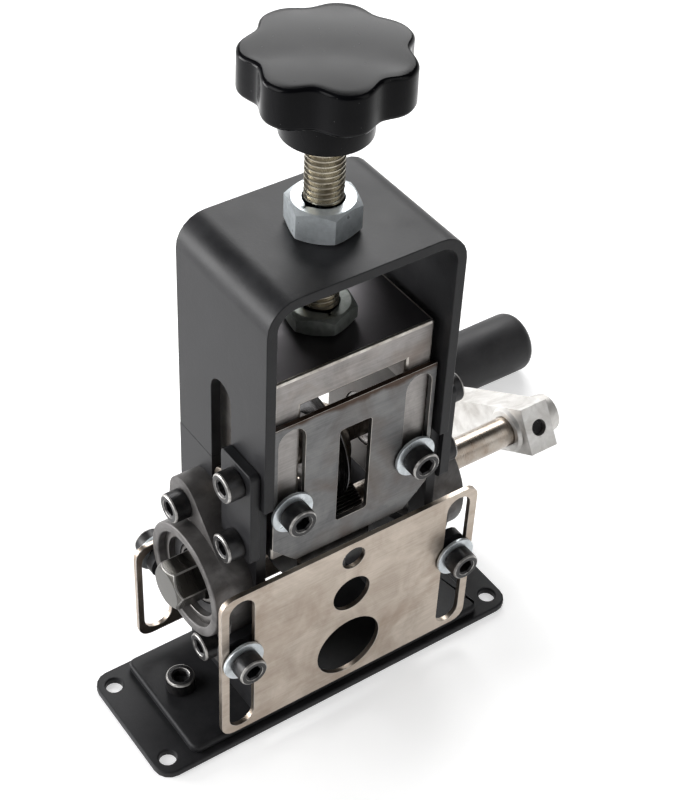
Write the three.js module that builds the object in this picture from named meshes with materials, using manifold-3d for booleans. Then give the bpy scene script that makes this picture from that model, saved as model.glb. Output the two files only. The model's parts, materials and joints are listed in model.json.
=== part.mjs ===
// Hand crank wire stripper: a bench frame with a driven feed roller, a blade disc in a sliding carriage
// pressed down by a star knob, two guide plates and a side crank.
// Millimetres, +Z up, +X along the drive shaft towards the crank, -Y towards the user.
// The origin is the centre of the base plate's underside.
import * as THREE from 'three';
import { mergeVertices } from 'three/addons/utils/BufferGeometryUtils.js';
import Module from 'manifold-3d';

const wasm = await Module();
wasm.setup();

// Clearances between pieces
const seatGap = 0.3;
const coverToGuideGap = 1.3;

// Base plate
const baseWidth = 123.6;
const baseDepth = 42;
const baseThickness = 2.5;
const baseCornerRadius = 5;
const baseHoleRadius = 2.5;
const baseHoleInsetX = 4.8;
const baseHoleInsetY = 5.7;

// Foot plate, and the two cheeks welded on it with a tab at the front and rear of each
const footWidth = 101.2;
const footThickness = 3;
const footCornerRadius = 2.5;
const footScrewInset = 8.6;
const footScrewSetback = 2.5;
const sheet = 3;
const cheekEdgeMargin = 4.7;
const cheekHeight = 83.7;
const tabStep = 1.8;
const tabEndMargin = 4.9;
const tabBendRadius = 4;
const tabCornerRadius = 4;
const frontTabHeight = 12;
const frontTabScrewReach = 6.7;
const frontTabDrop = 9.1;
const rearTabHeight = 8.6;
const rearTabScrewReach = 8.1;
const tabToBearingGap = 0.2;
const relief = 0.5;

// Upper frame, a strip bent into an upside down U
const frameWidth = 58.6;
const frameDepth = 41.6;
const frameHeight = 66.8;
const frameBendRadius = 8.5;
const frameSlotLength = 29.6;

// Side plates that splice the upper frame to the cheeks
const spliceThickness = 3;
const spliceFrontInset = 1.8;
const spliceUp = 12.8;
const spliceDown = 18.9;
const spliceScrewUp = 6.8;
const spliceScrewDown = 15.2;
const spliceScrewInset = 4.9;
const spliceCornerRadius = 1.5;

// Drive shaft with its hexagonal end
const shaftAboveFoot = 47.5;
const shaftRadius = 4.5;
const shaftEndReach = 5.2;
const hexAcrossFlats = 12.4;
const hexLength = 11.9;
const hexTurn = 23;
const chamfer = 0.8;

// Flange bearings
const flangeThickness = 7.2;
const bearingRadius = 17;
const bearingRimWidth = 3;
const bearingRimHeight = 4.9;
const earPitch = 44.5;
const earRadius = 7.5;
const earTilt = 71;
const innerRingRadius = 10;
const innerRingInset = 1.7;
const cheekBoreMargin = 0.7;

// Feed roller
const rollerRadius = 12.3;
const rollerLength = 24;
const rollerTeeth = 40;
const rollerToothDepth = 0.6;

// Blade disc on its axle
const nip = 2;
const bladeRadius = 16.7;
const bladeThickness = 2;
const bladeBevel = 2.2;
const bladeEdge = 0.3;
const axleRadius = 4;
const axleSlotGap = 0.65;
const axleDropRoom = 2.85;
const collarRadius = 9;
const collarWidth = 5;
const bladeBearingRadius = 8;

// Carriage, an upside down U block
const carriageSideGap = 1.8;
const carriageDepth = 33.4;
const carriageWall = 8.5;
const carriageBar = 10;
const carriageAboveAxle = 43.3;
const carriageBelowAxle = 18;

// Cover plate in front of the carriage
const coverThickness = 1.5;
const coverOverhang = 0.6;
const coverAboveAxle = 30;
const coverChamfer = 7.5;
const windowWidth = 10;
const windowAboveAxle = 20.7;
const windowBelowAxle = 12;
const coverSlotWidth = 8.2;
const coverSlotInset = 5.4;
const coverSlotAboveScrew = 28.3;
const coverSlotBelowScrew = 6.2;
const coverScrewShank = 9;

// Guide plates
const guideEndMargin = 6.5;
const guideThickness = 1.5;
const guideCornerRadius = 4;
const guideSlotMargin = 2;
const guideFloorGap = 4.8;
const frontGuideHeight = 55.5;
const frontGuideSlotWidth = 8;
const rearGuideHeight = 36.7;
const rearGuideBelowScrew = 30.5;
const rearGuideShift = -1.6;
const rearGuideSlotWidth = 9;
const guideHoles = [
  { radius: 10.6, height: 13.3 },
  { radius: 6.1, height: 35.3 },
  { radius: 3.75, height: 49.6 },
];

// Pressure screw, its nuts and the star knob
const rodRadius = 5;
const rodTail = 2;
const nutAcrossFlats = 17;
const frameNutHeight = 8.5;
const frameNutTurn = 13;
const carriageNutHeight = 5.3;
const carriageNutTurn = 20;
const knobAboveFrame = 27.2;
const knobHubRadius = 11.85;
const knobHubHeight = 11;
const knobLobes = 7;
const knobRadius = 21.2;
const knobLobeDepth = 2.3;
const knobThickness = 12.4;
const knobTurn = 148.3;
const knobSocketDepth = 14;

// Crank
const crankLength = 81;
const crankEndReach = 9.6;
const crankWidth = 14.4;
const crankThickness = 9.5;
const crankStart = 70.8;
const bossLength = 1;
const bossTipRadius = 6.4;
const outerBossLength = 5.7;
const outerBossRadius = 6.6;
const outerBossTipRadius = 5.8;
const gripRadius = 10.5;
const gripNeckRadius = 9.2;
const gripLength = 55.4;
const gripPinRadius = 3;
const gripPinHeadRadius = 5.5;
const gripPinHeadHeight = 2.5;
const gripPinEndWall = 6;

// Socket head cap screws and washers
const screwRadius = 2.5;
const screwHeadRadius = 4.3;
const screwHeadHeight = 5;
const socketAcrossFlats = 4;
const socketDepth = 2.5;
const washerRadius = 6.3;
const washerThickness = 1;

// Heights and faces that follow from the sizes above
const footTop = baseThickness + footThickness;
const cheekTop = footTop + cheekHeight;
const frameTop = cheekTop + frameHeight;
const frameHalf = frameWidth / 2;
const innerHalf = frameHalf - sheet;
const screwHole = screwRadius + seatGap;
const shaftZ = footTop + shaftAboveFoot;
const axleZ = shaftZ + rollerRadius + nip + bladeRadius;
const slotHalf = axleRadius + axleSlotGap;
const earTangent = THREE.MathUtils.radToDeg(Math.acos((bearingRadius - earRadius) / (earPitch / 2)));
const flangeLean = THREE.MathUtils.degToRad(earTilt - earTangent);
const flangeEdge = (bearingRadius - frontTabDrop * Math.sin(flangeLean)) / Math.cos(flangeLean);
const spliceScrewY = -(frameDepth / 2 - spliceFrontInset - spliceScrewInset - spliceCornerRadius);
const cheekDepth = 2 * (cheekEdgeMargin - spliceScrewY);
const tabBack = Math.max(cheekDepth / 2 + tabStep - sheet, flangeEdge + tabToBearingGap);
const tabFace = tabBack + sheet;
const rearTabDrop = Math.sqrt(Math.max(0, (bearingRadius + relief) ** 2 - tabBack ** 2));
const frontTabTop = shaftZ - frontTabDrop;
const rearTabTop = shaftZ - rearTabDrop;
const frontScrewX = frameHalf + frontTabScrewReach;
const rearScrewX = frameHalf + rearTabScrewReach;
const carriageHalf = innerHalf - carriageSideGap;
const carriageTop = axleZ + carriageAboveAxle;
const carriageBottom = axleZ - carriageBelowAxle;
const carriageFront = carriageDepth / 2;
const coverHalf = carriageHalf + coverOverhang;
const coverScrewX = coverHalf - coverSlotInset;
const rodHole = rodRadius + seatGap;
const knobBottom = frameTop + knobAboveFrame;
const frontGuideTop = baseThickness + guideFloorGap + frontGuideHeight;

const steelZinc = { color: 0xa9abad, roughness: 0.38, metalness: 0.9 };
const steelBright = { color: 0xc9cccf, roughness: 0.2, metalness: 0.95 };
const steelPlain = { color: 0x8e8f90, roughness: 0.45, metalness: 0.85 };
const blackPaint = { color: 0x141416, roughness: 0.45, metalness: 0.3 };
const blackScrew = { color: 0x1d1d1f, roughness: 0.4, metalness: 0.6 };
const blackPlastic = { color: 0x101012, roughness: 0.25, metalness: 0 };
const greyRubber = { color: 0x3a3a3d, roughness: 0.75, metalness: 0 };

// Where a piece's own X, Y and outward Z point when it faces a side of the machine
const alongX = new THREE.Vector3(1, 0, 0);
const alongY = new THREE.Vector3(0, 1, 0);
const alongZ = new THREE.Vector3(0, 0, 1);
const back = (axis) => axis.clone().negate();
const basis = (x, y, z) => new THREE.Matrix4().makeBasis(x, y, z);
const facing = {
  right: basis(alongY, alongZ, alongX),
  left: basis(back(alongY), alongZ, back(alongX)),
  front: basis(alongX, alongZ, back(alongY)),
  rear: basis(back(alongX), alongZ, alongY),
  up: basis(alongX, alongY, alongZ),
};
const sides = [
  { name: 'left', sign: -1 },
  { name: 'right', sign: 1 },
];

// Points along an arc, angles in degrees, one every 15 degrees unless told otherwise
function arc(x, y, radius, from, to, step = 15) {
  const count = Math.max(2, Math.ceil(Math.abs(to - from) / step));
  const points = [];
  for (let i = 0; i <= count; i += 1) {
    const angle = THREE.MathUtils.degToRad(from + ((to - from) * i) / count);
    points.push(new THREE.Vector2(x + radius * Math.cos(angle), y + radius * Math.sin(angle)));
  }
  return points;
}

function circle(x, y, radius, step = radius < 4 ? 22.5 : 15) {
  return arc(x, y, radius, 0, 360, step).slice(0, -1);
}

function roundedBox(x0, y0, x1, y1, radius) {
  return [
    ...arc(x1 - radius, y0 + radius, radius, -90, 0, 22.5),
    ...arc(x1 - radius, y1 - radius, radius, 0, 90, 22.5),
    ...arc(x0 + radius, y1 - radius, radius, 90, 180, 22.5),
    ...arc(x0 + radius, y0 + radius, radius, 180, 270, 22.5),
  ];
}

function uprightSlot(x, y0, y1, width) {
  const radius = width / 2;
  return [...arc(x, y1 - radius, radius, 0, 180, 22.5), ...arc(x, y0 + radius, radius, 180, 360, 22.5)];
}

function hexagon(acrossFlats, turn) {
  return circle(0, 0, acrossFlats / Math.sqrt(3), 60).map((point) => {
    return point.rotateAround(new THREE.Vector2(), THREE.MathUtils.degToRad(turn));
  });
}

// A flat piece with the given outline and holes, its thickness along Z
function plate(outline, holes, thickness, start = 0) {
  const shape = new THREE.Shape(outline);
  holes.forEach((hole) => shape.holes.push(new THREE.Path(hole)));
  const geometry = new THREE.ExtrudeGeometry(shape, { depth: thickness, bevelEnabled: false });
  return geometry.translate(0, 0, start);
}

// A turned piece about Z. Each profile point is a radius and a height
function turned(profile, step = 15) {
  const points = profile.map(([radius, height]) => new THREE.Vector2(radius, height));
  return new THREE.LatheGeometry(points, Math.round(360 / step)).rotateX(Math.PI / 2);
}

function turnedRing(inner, outer, start, end, step = 15) {
  const corners = [[inner, start], [outer, start], [outer, end], [inner, end], [inner, start]];
  return turned(corners, step);
}

function solidOf(geometry) {
  const bare = geometry.clone();
  bare.deleteAttribute('normal');
  bare.deleteAttribute('uv');
  const merged = mergeVertices(bare, 1e-4);
  const index = merged.index.array;
  const triangles = [];
  for (let i = 0; i < index.length; i += 3) {
    const [a, b, c] = [index[i], index[i + 1], index[i + 2]];
    if (a !== b && b !== c && c !== a) {
      triangles.push(a, b, c);
    }
  }
  const vertProperties = new Float32Array(merged.attributes.position.array);
  const triVerts = new Uint32Array(triangles);
  return new wasm.Manifold(new wasm.Mesh({ numProp: 3, vertProperties, triVerts }));
}

function geometryOf(solid) {
  const { vertProperties, triVerts } = solid.getMesh();
  const geometry = new THREE.BufferGeometry();
  geometry.setAttribute('position', new THREE.BufferAttribute(vertProperties, 3));
  geometry.setIndex(new THREE.BufferAttribute(triVerts, 1));
  return geometry;
}

// Joins the first list of shapes, then cuts the second list away
function carve(parts, cuts = []) {
  const body = parts.map(solidOf).reduce((sum, part) => sum.add(part));
  return geometryOf(cuts.map(solidOf).reduce((rest, cut) => rest.subtract(cut), body));
}

function trimmed(geometry, limit) {
  return geometryOf(solidOf(geometry).intersect(solidOf(limit)));
}

function turnedTo(geometry, side) {
  return geometry.applyMatrix4(facing[side]);
}

// A named piece, turned to a side of the machine and set down with its own origin at x, y, z
function piece(name, geometry, finish, place = {}) {
  const { side = 'up', x = 0, y = 0, z = 0 } = place;
  const mesh = new THREE.Mesh(geometry, new THREE.MeshStandardMaterial(finish));
  mesh.name = name;
  mesh.quaternion.setFromRotationMatrix(facing[side]);
  mesh.position.set(x, y, z);
  return mesh;
}

function groupOf(...parts) {
  const group = new THREE.Group();
  group.add(...parts.flat());
  return group;
}

// Socket head cap screw, its seat at Z 0 and its shank below
function capScrew(shankLength) {
  const rim = chamfer / 2;
  const body = turned([
    [0, -shankLength],
    [screwRadius, -shankLength],
    [screwRadius, 0],
    [screwHeadRadius, 0],
    [screwHeadRadius, screwHeadHeight - rim],
    [screwHeadRadius - rim, screwHeadHeight],
    [0, screwHeadHeight],
  ], 22.5);
  const socket = plate(hexagon(socketAcrossFlats, 0), [], socketDepth * 2, screwHeadHeight - socketDepth);
  return carve([body], [socket]);
}

function screw(name, shankLength, place) {
  return piece(name, capScrew(shankLength), blackScrew, place);
}

function washer() {
  return plate(circle(0, 0, washerRadius, 22.5), [circle(0, 0, screwHole)], washerThickness);
}

// A hexagonal bar with its corners chamfered at both ends
function chamferedHex(acrossFlats, height, turn) {
  const corner = acrossFlats / Math.sqrt(3);
  const rise = (corner - acrossFlats / 2) * Math.tan(Math.PI / 6);
  const limit = turned([
    [0, 0],
    [acrossFlats / 2, 0],
    [corner, rise],
    [corner, height - rise],
    [acrossFlats / 2, height],
    [0, height],
  ]);
  return trimmed(plate(hexagon(acrossFlats, turn), [], height), limit);
}

function nut(height, turn) {
  const bore = plate(circle(0, 0, rodHole), [], height * 3, -height);
  return carve([chamferedHex(nutAcrossFlats, height, turn)], [bore]);
}

function basePlate() {
  const halfX = baseWidth / 2;
  const halfY = baseDepth / 2;
  const holes = [];
  sides.forEach(({ sign }) => {
    const x = sign * (halfX - baseHoleInsetX);
    holes.push(circle(x, halfY - baseHoleInsetY, baseHoleRadius));
    holes.push(circle(x, baseHoleInsetY - halfY, baseHoleRadius));
    holes.push(circle(sign * (footWidth / 2 - footScrewInset), footScrewSetback, screwHole));
  });
  const outline = roundedBox(-halfX, -halfY, halfX, halfY, baseCornerRadius);
  return piece('base_plate', plate(outline, holes, baseThickness), blackPaint);
}

// One tab, bent outwards from the edge of its cheek, its outer corners rounded
function tab(signX, { signY, screwX, top, height }) {
  const root = tabBack - sheet;
  const end = screwX + tabEndMargin;
  const plan = [
    new THREE.Vector2(innerHalf, root),
    new THREE.Vector2(frameHalf, root),
    new THREE.Vector2(frameHalf, tabBack),
    new THREE.Vector2(end, tabBack),
    new THREE.Vector2(end, tabFace),
    ...arc(innerHalf + tabBendRadius, tabFace - tabBendRadius, tabBendRadius, 90, 180, 22.5),
  ].map((point) => new THREE.Vector2(signX * point.x, signY * point.y));
  const face = roundedBox(-end, top - height, end, top, tabCornerRadius);
  const limit = turnedTo(plate(face, [], cheekDepth * 2, -cheekDepth), 'front');
  return trimmed(plate(plan, [], height, top - height), limit);
}

function earCentre(upper) {
  const angle = THREE.MathUtils.degToRad(earTilt);
  const reach = (upper * earPitch) / 2;
  return { y: reach * Math.cos(angle), z: shaftZ + reach * Math.sin(angle) };
}

// Outline of a cheek with its open axle slot, drawn over Y and Z
function cheekOutline() {
  const half = cheekDepth / 2;
  const slotFloor = axleZ - axleDropRoom;
  return [
    new THREE.Vector2(-half, footTop),
    new THREE.Vector2(half, footTop),
    new THREE.Vector2(half, cheekTop),
    new THREE.Vector2(slotHalf, cheekTop),
    ...arc(0, slotFloor, slotHalf, 0, -180),
    new THREE.Vector2(-slotHalf, cheekTop),
    new THREE.Vector2(-half, cheekTop),
  ];
}

function footPlate() {
  const half = footWidth / 2;
  const holes = sides.map(({ sign }) => circle(sign * (half - footScrewInset), footScrewSetback, screwHole));
  const outline = roundedBox(-half, -tabFace, half, tabFace, footCornerRadius);
  return piece('foot_plate', plate(outline, holes, footThickness), blackPaint, { z: baseThickness });
}

// The two upright cheeks welded on the foot plate, each with a tab at the front and one at the rear
function cheeks() {
  const holes = [
    circle(0, shaftZ, innerRingRadius + cheekBoreMargin),
    circle(spliceScrewY, cheekTop - spliceScrewDown, screwHole),
    circle(earCentre(1).y, earCentre(1).z, screwHole),
    circle(earCentre(-1).y, earCentre(-1).z, screwHole),
  ];
  const tabs = [
    { signY: -1, screwX: frontScrewX, top: frontTabTop, height: frontTabHeight },
    { signY: 1, screwX: rearScrewX, top: rearTabTop, height: rearTabHeight },
  ];
  return sides.map(({ name, sign }) => {
    const start = sign > 0 ? innerHalf : -frameHalf;
    const parts = [turnedTo(plate(cheekOutline(), holes, sheet, start), 'right')];
    const cuts = [];
    tabs.forEach((place) => {
      const { signY, screwX, top, height } = place;
      parts.push(tab(sign, place));
      const hole = circle(sign * screwX, top - height / 2, screwHole);
      cuts.push(turnedTo(plate(hole, [], sheet * 3, -signY * (tabBack + sheet / 2) - sheet * 1.5), 'front'));
    });
    return piece(`cheek_${name}`, carve(parts, cuts), blackPaint);
  });
}

// The bent strip's section, drawn over X and Z, open at the legs' ends
function upperFrame() {
  const innerBend = frameBendRadius - sheet;
  const outerX = frameHalf - frameBendRadius;
  const bendZ = frameTop - frameBendRadius;
  const outline = [
    new THREE.Vector2(frameHalf, cheekTop),
    ...arc(outerX, bendZ, frameBendRadius, 0, 90),
    ...arc(-outerX, bendZ, frameBendRadius, 90, 180),
    new THREE.Vector2(-frameHalf, cheekTop),
    new THREE.Vector2(-innerHalf, cheekTop),
    ...arc(-outerX, bendZ, innerBend, 180, 90),
    ...arc(outerX, bendZ, innerBend, 90, 0),
    new THREE.Vector2(innerHalf, cheekTop),
  ];
  const strip = turnedTo(plate(outline, [], frameDepth, -frameDepth / 2), 'front');
  const slotTop = cheekTop + frameSlotLength;
  const slot = uprightSlot(0, cheekTop - frameSlotLength, slotTop, slotHalf * 2);
  const screwHoleOutline = circle(spliceScrewY, cheekTop + spliceScrewUp, screwHole);
  const cuts = [
    turnedTo(plate(slot, [], frameWidth * 2, -frameWidth), 'right'),
    turnedTo(plate(screwHoleOutline, [], frameWidth * 2, -frameWidth), 'right'),
    plate(circle(0, 0, rodHole), [], sheet * 3, frameTop - sheet * 2),
  ];
  return piece('upper_frame', carve([strip], cuts), blackPaint);
}

function splices() {
  const outer = frameDepth / 2 - spliceFrontInset;
  return sides.map(({ name, sign }) => {
    const y0 = sign > 0 ? -outer : slotHalf;
    const y1 = sign > 0 ? -slotHalf : outer;
    const outline = roundedBox(y0, -spliceDown, y1, spliceUp, spliceCornerRadius);
    const screwY = sign * spliceScrewY;
    const holes = [circle(screwY, spliceScrewUp, screwHole), circle(screwY, -spliceScrewDown, screwHole)];
    const shank = spliceThickness + sheet - seatGap;
    const bearing = plate(flangeOutline(flangeTilt(sign), relief), [], spliceThickness * 3, -spliceThickness)
      .translate(0, shaftZ - cheekTop, 0);
    const splice = carve([plate(outline, holes, spliceThickness)], [bearing]);
    const seat = { side: name, x: sign * (frameHalf + spliceThickness), y: spliceScrewY };
    const upper = { ...seat, z: cheekTop + spliceScrewUp };
    const lower = { ...seat, z: cheekTop - spliceScrewDown };
    return [
      piece(`side_plate_${name}`, splice, blackPaint, { side: name, x: sign * frameHalf, z: cheekTop }),
      screw(`side_plate_upper_screw_${name}`, shank, upper),
      screw(`side_plate_lower_screw_${name}`, shank, lower),
    ];
  });
}

function footScrews() {
  return sides.map(({ name, sign }) => {
    const place = { x: sign * (footWidth / 2 - footScrewInset), y: footScrewSetback, z: footTop };
    return screw(`foot_screw_${name}`, footTop - seatGap, place);
  });
}

// The ears lean the same way on both sides, so the left flange, seen from outside, is tilted the other way
function flangeTilt(sign) {
  return sign > 0 ? earTilt : 180 - earTilt;
}

// Diamond outline of a bearing flange: a round middle and two ears, joined by tangents
function flangeOutline(tilt, margin = 0) {
  const reach = earPitch / 2;
  const middle = bearingRadius + margin;
  const ear = earRadius + margin;
  const points = [
    ...arc(reach, 0, ear, -earTangent, earTangent),
    ...arc(0, 0, middle, earTangent, 180 - earTangent),
    ...arc(-reach, 0, ear, 180 - earTangent, 180 + earTangent),
    ...arc(0, 0, middle, 180 + earTangent, 360 - earTangent),
  ];
  const angle = THREE.MathUtils.degToRad(tilt);
  return points.map((point) => point.rotateAround(new THREE.Vector2(), angle));
}

function bearings() {
  return sides.map(({ name, sign }) => {
    const ears = [1, -1].map((upper) => ({ word: upper > 0 ? 'upper' : 'lower', ...earCentre(upper) }));
    const bore = innerRingRadius + seatGap;
    const holes = [circle(0, 0, bore), ...ears.map(({ y, z }) => circle(sign * y, z - shaftZ, screwHole))];
    const flange = plate(flangeOutline(flangeTilt(sign)), holes, flangeThickness);
    const rimStart = flangeThickness / 2;
    const rimEnd = flangeThickness + bearingRimHeight;
    const rim = turnedRing(bearingRadius - bearingRimWidth, bearingRadius, rimStart, rimEnd);
    const shank = flangeThickness + sheet - seatGap;
    const place = { side: name, x: sign * frameHalf, z: shaftZ };
    const screwX = sign * (frameHalf + flangeThickness);
    return [
      piece(`bearing_housing_${name}`, carve([flange, rim]), steelZinc, place),
      ...ears.map(({ word, y, z }) => {
        return screw(`bearing_${word}_screw_${name}`, shank, { side: name, x: screwX, y, z });
      }),
    ];
  });
}

// A guide plate with a slot at each end, its bottom edge at Y 0
function guidePlate({ height, shift, screwX, slotWidth, holes }) {
  const half = screwX + guideEndMargin;
  const slots = sides.map(({ sign }) => {
    return uprightSlot(shift + sign * screwX, guideSlotMargin, height - guideSlotMargin, slotWidth);
  });
  const outline = roundedBox(shift - half, 0, shift + half, height, guideCornerRadius);
  return plate(outline, [...holes, ...slots], guideThickness);
}

function guideFasteners(side, signY, screwX, z) {
  const washerSeat = tabFace + guideThickness + seatGap * 2;
  const screwSeat = washerSeat + washerThickness;
  const shank = screwSeat - tabBack - seatGap;
  return sides.map(({ name, sign }) => {
    const place = { side, x: sign * screwX, z };
    return [
      piece(`${side}_guide_washer_${name}`, washer(), steelZinc, { ...place, y: signY * washerSeat }),
      screw(`${side}_guide_screw_${name}`, shank, { ...place, y: signY * screwSeat }),
    ];
  });
}

function guidePlates() {
  const seat = tabFace + seatGap;
  const front = guidePlate({
    height: frontGuideHeight,
    shift: 0,
    screwX: frontScrewX,
    slotWidth: frontGuideSlotWidth,
    holes: guideHoles.map(({ radius, height }) => circle(0, height, radius, 10)),
  });
  const rear = guidePlate({
    height: rearGuideHeight,
    shift: -rearGuideShift,
    screwX: rearScrewX,
    slotWidth: rearGuideSlotWidth,
    holes: [],
  });
  const frontScrewZ = frontTabTop - frontTabHeight / 2;
  const rearScrewZ = rearTabTop - rearTabHeight / 2;
  const frontPlace = { side: 'front', y: -seat, z: baseThickness + guideFloorGap };
  const rearPlace = { side: 'rear', y: seat, z: rearScrewZ - rearGuideBelowScrew };
  return [
    piece('front_guide_plate', front, steelPlain, frontPlace),
    piece('rear_guide_plate', rear, steelPlain, rearPlace),
    ...guideFasteners('front', -1, frontScrewX, frontScrewZ),
    ...guideFasteners('rear', 1, rearScrewX, rearScrewZ),
  ];
}

// Everything that turns with the drive shaft, in a group whose own Y runs along the crank arm
function crank() {
  const shaftHole = shaftRadius + seatGap;
  const ringEnd = frameHalf + flangeThickness - innerRingInset;
  const hexStart = -(ringEnd + seatGap);
  const shaftEnd = crankStart + crankThickness + shaftEndReach;
  const round = turned([
    [0, hexStart - hexLength / 2],
    [shaftRadius, hexStart - hexLength / 2],
    [shaftRadius, shaftEnd - chamfer],
    [shaftRadius - chamfer, shaftEnd],
    [0, shaftEnd],
  ]);
  const hex = chamferedHex(hexAcrossFlats, hexLength, hexTurn).translate(0, 0, hexStart - hexLength);
  const shaft = piece('drive_shaft', carve([round, hex]), steelBright, { side: 'right' });
  const rings = sides.map(({ name }) => {
    const start = frameHalf + seatGap;
    const ring = turnedRing(shaftHole, innerRingRadius, start, ringEnd);
    return piece(`bearing_inner_ring_${name}`, carve([ring]), steelBright, { side: name });
  });
  return groupOf(shaft, rings, feedRoller(shaftHole), crankArm(shaftHole), grip());
}

// Roller with pointed teeth along its length: tips and roots take turns round the edge
function feedRoller(shaftHole) {
  const halfPitch = 180 / rollerTeeth;
  const tips = circle(0, 0, rollerRadius, halfPitch);
  const roots = circle(0, 0, rollerRadius - rollerToothDepth, halfPitch);
  const teeth = tips.map((tip, i) => (i % 2 ? roots[i] : tip));
  const roller = plate(teeth, [circle(0, 0, shaftHole)], rollerLength, -rollerLength / 2);
  return piece('feed_roller', roller, steelPlain, { side: 'right' });
}

function crankArm(shaftHole) {
  const half = crankWidth / 2;
  const pinHole = gripPinRadius + seatGap;
  const outline = [
    new THREE.Vector2(-crankEndReach, half),
    new THREE.Vector2(-crankEndReach, -half),
    ...arc(crankLength, 0, half, -90, 90),
  ];
  const bar = plate(outline, [circle(0, 0, shaftHole), circle(crankLength, 0, pinHole)], crankThickness);
  const tip = crankThickness + outerBossLength;
  const boss = turned([
    [shaftHole, -bossLength],
    [bossTipRadius, -bossLength],
    [half, 0],
    [outerBossRadius, crankThickness],
    [outerBossTipRadius, tip],
    [shaftHole, tip],
    [shaftHole, -bossLength],
  ]);
  return piece('crank_arm', carve([bar, boss]), steelPlain, { side: 'right', x: crankStart });
}

function grip() {
  const start = crankThickness + seatGap;
  const end = start + gripLength;
  const pinEnd = end - gripPinEndWall;
  const bore = gripPinRadius + seatGap;
  const round = 4;
  const handle = turned([
    [0, pinEnd + seatGap],
    [bore, pinEnd + seatGap],
    [bore, start],
    [gripNeckRadius - 1, start],
    [gripNeckRadius, start + 1],
    [gripRadius, start + gripLength * 0.45],
    [gripRadius, end - round],
    ...arc(gripRadius - round, end - round, round, 22.5, 90, 22.5).map((point) => [point.x, point.y]),
    [0, end],
  ]);
  const pin = turned([
    [0, -gripPinHeadHeight],
    [gripPinHeadRadius - chamfer, -gripPinHeadHeight],
    [gripPinHeadRadius, chamfer - gripPinHeadHeight],
    [gripPinHeadRadius, 0],
    [gripPinRadius, 0],
    [gripPinRadius, pinEnd],
    [0, pinEnd],
  ]);
  const place = { side: 'right', x: crankStart, y: crankLength };
  return [
    piece('crank_grip', carve([handle]), greyRubber, place),
    piece('grip_pin', carve([pin]), steelZinc, place),
  ];
}

function carriageBlock() {
  const innerX = carriageHalf - carriageWall;
  const barZ = carriageTop - carriageBar;
  const outline = [
    [-carriageHalf, carriageBottom],
    [-innerX, carriageBottom],
    [-innerX, barZ],
    [innerX, barZ],
    [innerX, carriageBottom],
    [carriageHalf, carriageBottom],
    [carriageHalf, carriageTop],
    [-carriageHalf, carriageTop],
  ].map(([x, z]) => new THREE.Vector2(x, z));
  const block = turnedTo(plate(outline, [], carriageDepth, -carriageDepth / 2), 'front');
  const bearingHole = circle(0, axleZ, bladeBearingRadius + seatGap);
  const cuts = [
    turnedTo(plate(bearingHole, [], frameWidth * 2, -frameWidth), 'right'),
    plate(circle(0, 0, rodHole), [], carriageBar * 3, carriageTop - carriageBar * 2),
  ];
  const depth = coverScrewShank - coverThickness - washerThickness - seatGap;
  sides.forEach(({ sign }) => {
    const hole = circle(sign * coverScrewX, axleZ, screwHole);
    cuts.push(turnedTo(plate(hole, [], depth * 2, carriageFront - depth), 'front'));
  });
  return piece('carriage_block', carve([block], cuts), steelPlain);
}

// Cover plate drawn about the blade's axle, with its window and its two slots
function coverPlate() {
  const bottom = frontGuideTop + coverToGuideGap - axleZ;
  const outline = [
    [-coverHalf + coverChamfer, bottom],
    [coverHalf - coverChamfer, bottom],
    [coverHalf, bottom + coverChamfer],
    [coverHalf, coverAboveAxle],
    [-coverHalf, coverAboveAxle],
    [-coverHalf, bottom + coverChamfer],
  ].map(([x, z]) => new THREE.Vector2(x, z));
  const half = windowWidth / 2;
  const holes = [roundedBox(-half, -windowBelowAxle, half, windowAboveAxle, 1)];
  sides.forEach(({ sign }) => {
    holes.push(uprightSlot(sign * coverScrewX, -coverSlotBelowScrew, coverSlotAboveScrew, coverSlotWidth));
  });
  const place = { side: 'front', y: -(carriageFront + seatGap), z: axleZ };
  return piece('cover_plate', plate(outline, holes, coverThickness), steelPlain, place);
}

function carriage() {
  const washerSeat = carriageFront + coverThickness + seatGap * 2;
  const screwSeat = washerSeat + washerThickness;
  const ringStart = carriageHalf - carriageWall + seatGap;
  const ring = turnedRing(axleRadius + seatGap, bladeBearingRadius, ringStart, carriageHalf - seatGap);
  const fasteners = sides.map(({ name, sign }) => {
    const place = { side: 'front', x: sign * coverScrewX, z: axleZ };
    return [
      piece(`cover_washer_${name}`, washer(), steelZinc, { ...place, y: -washerSeat }),
      screw(`cover_screw_${name}`, coverScrewShank, { ...place, y: -screwSeat }),
      piece(`blade_bearing_${name}`, carve([ring]), steelBright, { side: name, z: axleZ }),
    ];
  });
  return [carriageBlock(), coverPlate(), ...fasteners];
}

function blade() {
  const half = bladeThickness / 2;
  const disc = turned([
    [axleRadius + seatGap, -half],
    [bladeRadius - bladeBevel, -half],
    [bladeRadius, -bladeEdge / 2],
    [bladeRadius, bladeEdge / 2],
    [bladeRadius - bladeBevel, half],
    [axleRadius + seatGap, half],
    [axleRadius + seatGap, -half],
  ], 10);
  const collarStart = half + seatGap;
  const collarEnd = collarStart + collarWidth;
  const end = frameHalf - seatGap;
  const axle = turned([
    [0, -end],
    [axleRadius - chamfer, -end],
    [axleRadius, chamfer - end],
    [axleRadius, collarStart],
    [collarRadius, collarStart],
    [collarRadius, collarEnd],
    [axleRadius, collarEnd],
    [axleRadius, end - chamfer],
    [axleRadius - chamfer, end],
    [0, end],
  ]);
  const collar = turnedRing(axleRadius + seatGap, collarRadius, -collarEnd, -collarStart);
  const place = { side: 'right', z: axleZ };
  return [
    piece('blade_disc', carve([disc]), steelBright, place),
    piece('blade_axle', carve([axle]), steelBright, place),
    piece('blade_collar', carve([collar]), steelPlain, place),
  ];
}

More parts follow.
